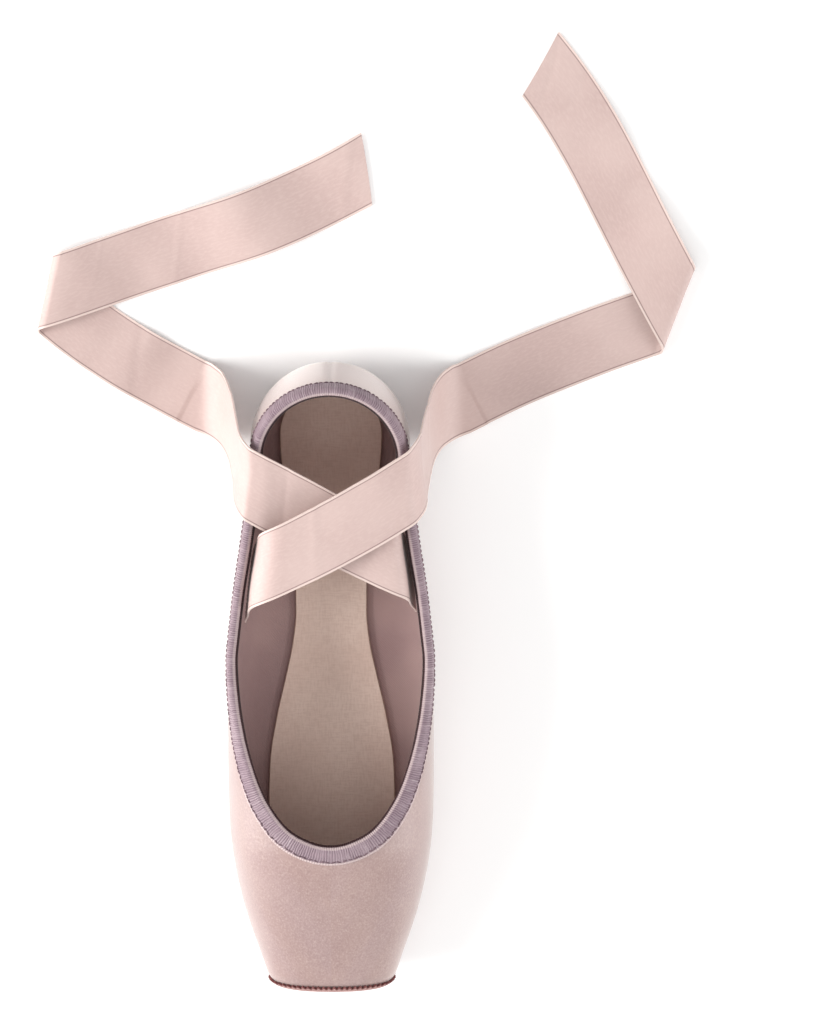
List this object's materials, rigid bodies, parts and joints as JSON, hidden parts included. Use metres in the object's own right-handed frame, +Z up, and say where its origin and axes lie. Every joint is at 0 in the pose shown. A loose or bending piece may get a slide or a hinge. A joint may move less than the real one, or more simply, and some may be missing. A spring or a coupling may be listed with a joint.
{
  "type": "pointe shoe",
  "caption": "Satin pointe shoe with a stiff blocked toe, low bound collar, suede tip and ankle ribbons, standing empty on its sole",
  "frame": {"origin": "on the floor, midway along and across the shoe without its ribbons", "axes": "-Y towards the toe platform, +Y towards the heel, +X to the right of the picture, +Z up"},
  "size_m": [0.2403, 0.3539, 0.0569],
  "materials": {
    "satin": "satin weave, soft sheen",
    "sole_leather": "matt, lightly scuffed",
    "insole": "matt cotton over board",
    "binding": "ribbed tape, matt",
    "suede": "napped, matt",
    "ribbon": "soft satin"
  },
  "bodies": {
    "root": {"upper": "satin", "outsole": "sole_leather", "insole": "insole", "collar_binding": "binding", "platform_patch": "suede", "ribbon_left": "ribbon", "ribbon_right": "ribbon"}
  },
  "joints": []
}
